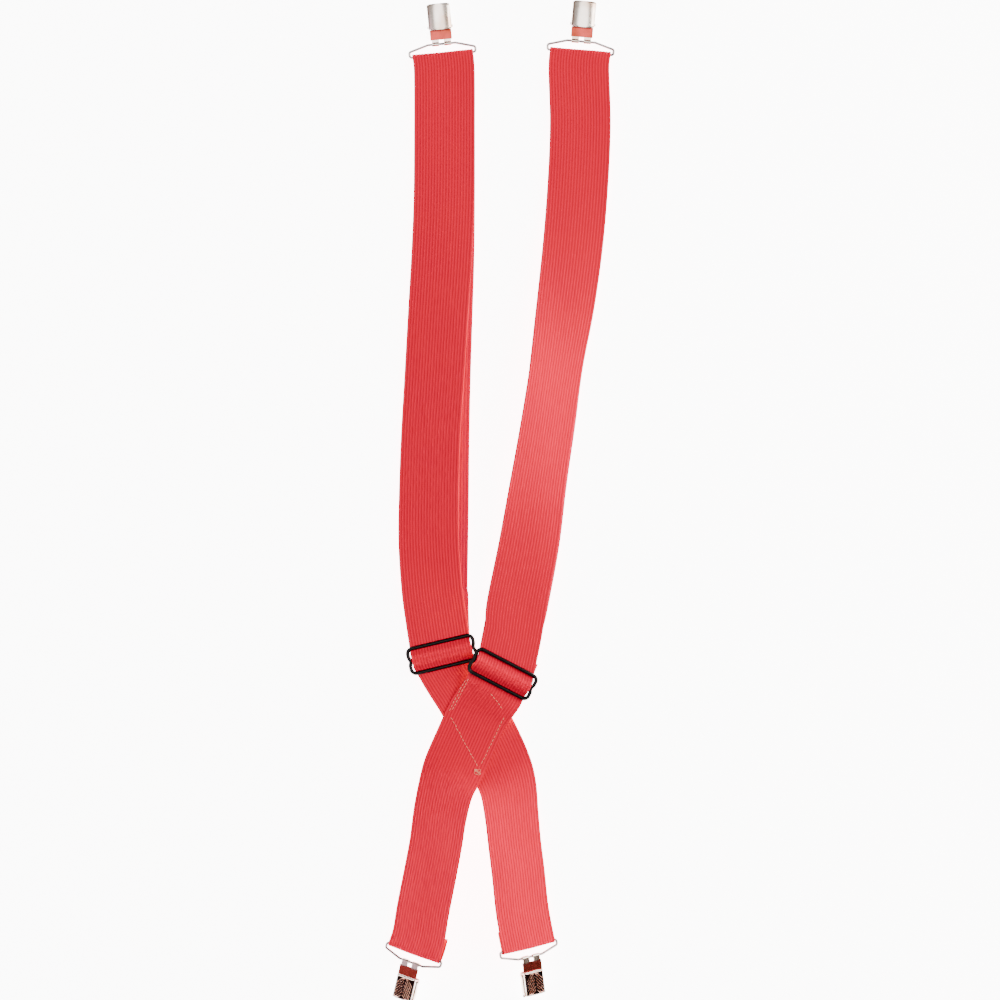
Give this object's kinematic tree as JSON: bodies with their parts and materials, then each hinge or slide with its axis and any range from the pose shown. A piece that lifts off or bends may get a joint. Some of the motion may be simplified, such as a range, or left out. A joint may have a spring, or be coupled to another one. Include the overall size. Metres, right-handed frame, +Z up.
{
  "type": "x-back suspenders",
  "caption": "Wide elastic X-back suspenders laid flat, with sliding wire adjusters, wire bails and hinged lever clips.",
  "frame": {"origin": "under the middle of the laid-out suspenders, on the table they lie on", "axes": "+Y from the back clips to the front clips, +X to the right seen from above, +Z up from the table"},
  "size_m": [0.1888, 0.8238, 0.032],
  "materials": {
    "webbing": "ribbed elastic webbing",
    "thread": "sewing thread",
    "black_wire": "gloss lacquer",
    "nickel": "polished nickel plate"
  },
  "bodies": {
    "straps": {"left_lower_webbing": "webbing", "right_lower_webbing": "webbing", "cross_stitching": "thread", "back_left_fold": "webbing", "back_right_fold": "webbing", "back_left_tail": "webbing", "back_right_tail": "webbing"},
    "left_adjuster": {"left_adjuster_frame": "black_wire", "left_adjuster_bar": "black_wire", "left_woven_webbing": "webbing", "left_sewn_loop": "webbing", "left_front_slack": "webbing", "left_return_slack": "webbing"},
    "left_front": {"left_front_webbing": "webbing", "left_return_webbing": "webbing", "front_left_fold": "webbing"},
    "right_adjuster": {"right_adjuster_frame": "black_wire", "right_adjuster_bar": "black_wire", "right_woven_webbing": "webbing", "right_sewn_loop": "webbing", "right_front_slack": "webbing", "right_return_slack": "webbing"},
    "right_front": {"right_front_webbing": "webbing", "right_return_webbing": "webbing", "front_right_fold": "webbing"},
    "front_left_bail": {"front_left_bail": "nickel"},
    "front_left_clip": {"front_left_clip_base": "nickel", "front_left_jaw_plate": "nickel", "front_left_hinge_pin": "nickel"},
    "front_left_lever": {"front_left_lever": "nickel"},
    "front_right_bail": {"front_right_bail": "nickel"},
    "front_right_clip": {"front_right_clip_base": "nickel", "front_right_jaw_plate": "nickel", "front_right_hinge_pin": "nickel"},
    "front_right_lever": {"front_right_lever": "nickel"},
    "back_left_bail": {"back_left_bail": "nickel"},
    "back_left_clip": {"back_left_clip_base": "nickel", "back_left_jaw_plate": "nickel", "back_left_hinge_pin": "nickel"},
    "back_left_lever": {"back_left_lever": "nickel"},
    "back_right_bail": {"back_right_bail": "nickel"},
    "back_right_clip": {"back_right_clip_base": "nickel", "back_right_jaw_plate": "nickel", "back_right_hinge_pin": "nickel"},
    "back_right_lever": {"back_right_lever": "nickel"}
  },
  "joints": [
    {"name": "left_adjuster_slide", "type": "slide", "parent": "straps", "child": "left_adjuster", "axis": [-0.2317, 0.9728, 0], "range_m": [0, 0.02]},
    {"name": "left_front_shift", "type": "slide", "parent": "left_adjuster", "child": "left_front", "axis": [-0.2317, 0.9728, 0], "range_m": [-0.01, 0], "deforming": ["left_front_slack", "left_return_slack"]},
    {"name": "right_adjuster_slide", "type": "slide", "parent": "straps", "child": "right_adjuster", "axis": [0.4633, 0.8862, 0], "range_m": [0, 0.02]},
    {"name": "right_front_shift", "type": "slide", "parent": "right_adjuster", "child": "right_front", "axis": [0.4633, 0.8862, 0], "range_m": [-0.01, 0], "deforming": ["right_front_slack", "right_return_slack"]},
    {"name": "front_left_bail_hinge", "type": "hinge", "parent": "left_front", "child": "front_left_bail", "pos_m": [-0.04693, 0.36718, 0.00367], "axis": [0.9954, 0.0958, 0], "range_deg": [-60, 80]},
    {"name": "front_left_clip_hinge", "type": "hinge", "parent": "front_left_bail", "child": "front_left_clip", "pos_m": [-0.04779, 0.37614, 0.00367], "axis": [0.9954, 0.0958, 0], "range_deg": [-60, 40]},
    {"name": "front_left_lever_hinge", "type": "hinge", "parent": "front_left_clip", "child": "front_left_lever", "pos_m": [-0.04913, 0.39008, 0.00587], "axis": [0.9954, 0.0958, 0], "range_deg": [0, 95]},
    {"name": "front_right_bail_hinge", "type": "hinge", "parent": "right_front", "child": "front_right_bail", "pos_m": [0.06607, 0.36918, 0.00367], "axis": [0.9962, -0.0872, 0], "range_deg": [-60, 80]},
    {"name": "front_right_clip_hinge", "type": "hinge", "parent": "front_right_bail", "child": "front_right_clip", "pos_m": [0.06685, 0.37815, 0.00367], "axis": [0.9962, -0.0872, 0], "range_deg": [-60, 40]},
    {"name": "front_right_lever_hinge", "type": "hinge", "parent": "front_right_clip", "child": "front_right_lever", "pos_m": [0.06807, 0.39209, 0.00587], "axis": [0.9962, -0.0872, 0], "range_deg": [0, 95]},
    {"name": "back_left_bail_hinge", "type": "hinge", "parent": "straps", "child": "back_left_bail", "pos_m": [-0.06993, -0.36882, 0.01602], "axis": [-0.8259, 0.2604, -0.5], "range_deg": [-60, 80]},
    {"name": "back_left_clip_hinge", "type": "hinge", "parent": "back_left_bail", "child": "back_left_clip", "pos_m": [-0.07264, -0.3774, 0.01602], "axis": [-0.8259, 0.2604, -0.5], "range_deg": [-60, 40]},
    {"name": "back_left_lever_hinge", "type": "hinge", "parent": "back_left_clip", "child": "back_left_lever", "pos_m": [-0.07475, -0.39095, 0.01245], "axis": [0.8259, -0.2604, 0.5], "range_deg": [0, 95]},
    {"name": "back_right_bail_hinge", "type": "hinge", "parent": "straps", "child": "back_right_bail", "pos_m": [0.02307, -0.36382, 0.01602], "axis": [-0.8486, -0.1727, 0.5], "range_deg": [-60, 80]},
    {"name": "back_right_clip_hinge", "type": "hinge", "parent": "back_right_bail", "child": "back_right_clip", "pos_m": [0.02486, -0.37264, 0.01602], "axis": [-0.8486, -0.1727, 0.5], "range_deg": [-60, 40]},
    {"name": "back_right_lever_hinge", "type": "hinge", "parent": "back_right_clip", "child": "back_right_lever", "pos_m": [0.02555, -0.38634, 0.01245], "axis": [0.8486, 0.1727, -0.5], "range_deg": [0, 95]}
  ],
  "couplings": [
    {"joint": "left_front_shift", "follows": "left_adjuster_slide", "ratio": -0.5},
    {"joint": "right_front_shift", "follows": "right_adjuster_slide", "ratio": -0.5}
  ]
}
